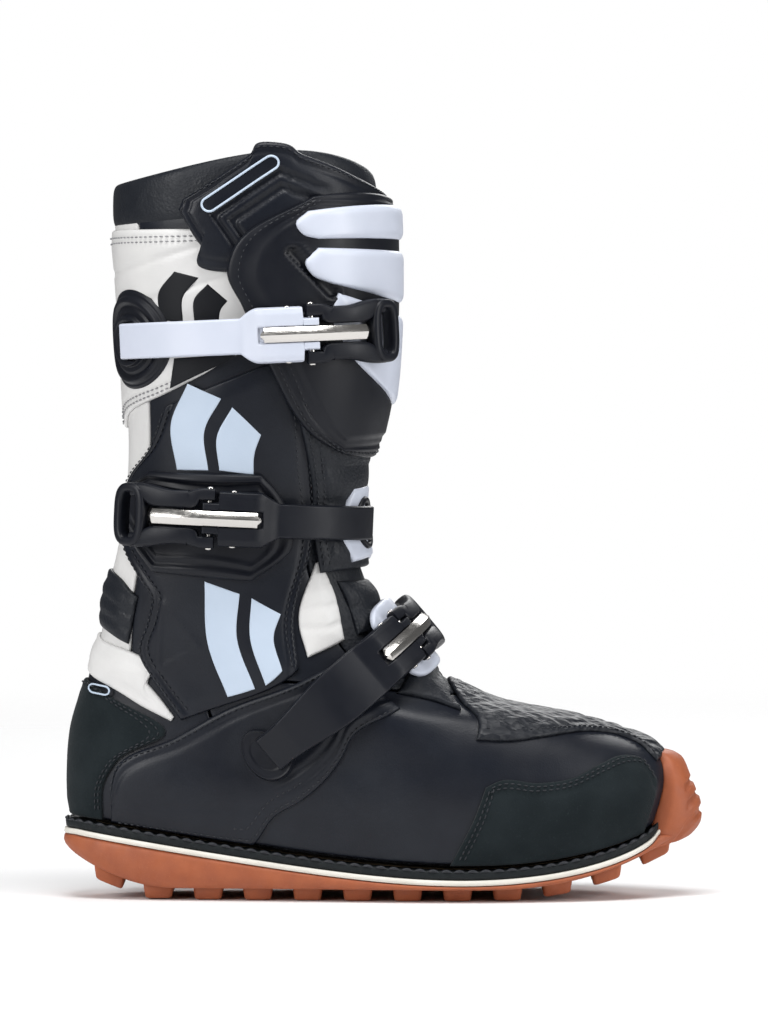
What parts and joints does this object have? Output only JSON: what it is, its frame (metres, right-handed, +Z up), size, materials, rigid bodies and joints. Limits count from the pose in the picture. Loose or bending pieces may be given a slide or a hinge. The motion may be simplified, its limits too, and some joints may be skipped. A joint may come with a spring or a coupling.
{
  "type": "motorcycle trials boot",
  "caption": "Tall right-foot motorcycle trials boot with a lugged gum sole, hinged shin flap and quick-release buckles.",
  "frame": {"origin": "on the ground, under the middle of the boot's box", "axes": "+X to the toe, +Z up, -Y towards the outer side with the buckles"},
  "size_m": [0.3062, 0.1276, 0.3631],
  "materials": {
    "gum_rubber": "moulded gum rubber, matt",
    "cream_rubber": "foxing strip, satin",
    "black_welt": "stitched welt, matt",
    "board": "fibre board",
    "steel": "polished",
    "lining_textile": "knitted lining",
    "black_leather": "smooth full grain, satin",
    "embossed_leather": "embossed with a wave pattern",
    "suede": "suede nap",
    "white_leather": "smooth, satin",
    "black_plastic": "moulded, satin",
    "white_plastic": "moulded, satin"
  },
  "bodies": {
    "boot": {"outsole": "gum_rubber", "midsole_band": "cream_rubber", "welt": "black_welt", "insole_board": "board", "shank": "steel", "footbed": "lining_textile", "lining": "lining_textile", "toe_box": "board", "heel_counter": "board", "heel_quarter": "black_leather", "vamp": "black_leather", "shaft_rear": "white_leather", "shaft_outer": "black_leather", "shaft_inner": "black_leather", "tongue": "black_leather", "collar": "black_leather", "toe_guard_outer": "suede", "toe_guard_inner": "suede", "ankle_panel_outer": "black_leather", "ankle_panel_inner": "black_leather", "quarter_outer": "black_leather", "quarter_inner": "black_leather", "side_gusset_outer": "white_leather", "side_gusset_inner": "white_leather", "heel_cover": "suede", "achilles_pad": "white_leather", "rear_gusset": "black_leather", "calf_panel": "white_leather", "toe_patch": "embossed_leather", "instep_pad": "black_leather", "lower_gaiter": "black_leather", "upper_anchor_disc": "black_plastic", "upper_anchor_hub": "black_plastic", "mid_buckle_plate": "black_plastic", "mid_buckle_seat": "black_plastic", "instep_pivot_disc": "black_plastic", "instep_base": "white_plastic"},
    "front_flap": {"flap_leather": "black_leather", "collar_flap": "black_leather", "shin_guard": "black_plastic", "shin_motif": "white_plastic", "upper_base": "black_plastic", "mid_strap_holder": "white_plastic"},
    "upper_strap": {"upper_strap": "white_plastic", "upper_bar": "steel", "upper_pin": "steel"},
    "upper_lever": {"upper_lever": "black_plastic"},
    "mid_strap": {"mid_strap": "black_plastic", "mid_bar": "steel", "mid_pin": "steel"},
    "mid_lever": {"mid_lever": "black_plastic"},
    "instep_strap": {"instep_strap": "black_plastic", "instep_bar": "steel", "instep_pin": "steel"},
    "instep_lever": {"instep_lever": "black_plastic"}
  },
  "joints": [
    {"name": "flap_open", "type": "hinge", "parent": "boot", "child": "front_flap", "pos_m": [-0.04081, 0.06402, 0.2], "axis": [0, 0, 1], "range_deg": [0, 30]},
    {"name": "upper_strap_swing", "type": "hinge", "parent": "boot", "child": "upper_strap", "pos_m": [-0.12443, -0.02471, 0.26662], "axis": [0.0419, 0, -0.9991], "range_deg": [0, 90]},
    {"name": "upper_lever_lift", "type": "hinge", "parent": "upper_strap", "child": "upper_lever", "pos_m": [-0.0335, -0.05448, 0.27043], "axis": [0.0419, 0, -0.9991], "range_deg": [0, 100]},
    {"name": "mid_strap_swing", "type": "hinge", "parent": "front_flap", "child": "mid_strap", "pos_m": [-0.00523, -0.0069, 0.17976], "axis": [0.0436, 0, 0.999], "range_deg": [0, 75]},
    {"name": "mid_lever_lift", "type": "hinge", "parent": "mid_strap", "child": "mid_lever", "pos_m": [-0.08181, -0.04744, 0.18311], "axis": [0.0436, 0, 0.999], "range_deg": [0, 100]},
    {"name": "instep_strap_swing", "type": "hinge", "parent": "boot", "child": "instep_strap", "pos_m": [-0.05482, -0.04353, 0.06984], "axis": [0.6428, 0, -0.766], "range_deg": [0, 70]},
    {"name": "instep_lever_lift", "type": "hinge", "parent": "instep_strap", "child": "instep_lever", "pos_m": [0.01265, -0.01738, 0.12646], "axis": [0.6428, 0, -0.766], "range_deg": [0, 100]}
  ],
  "couplings": [
    {"joint": "upper_strap_swing", "follows": "flap_open", "ratio": 3}
  ]
}
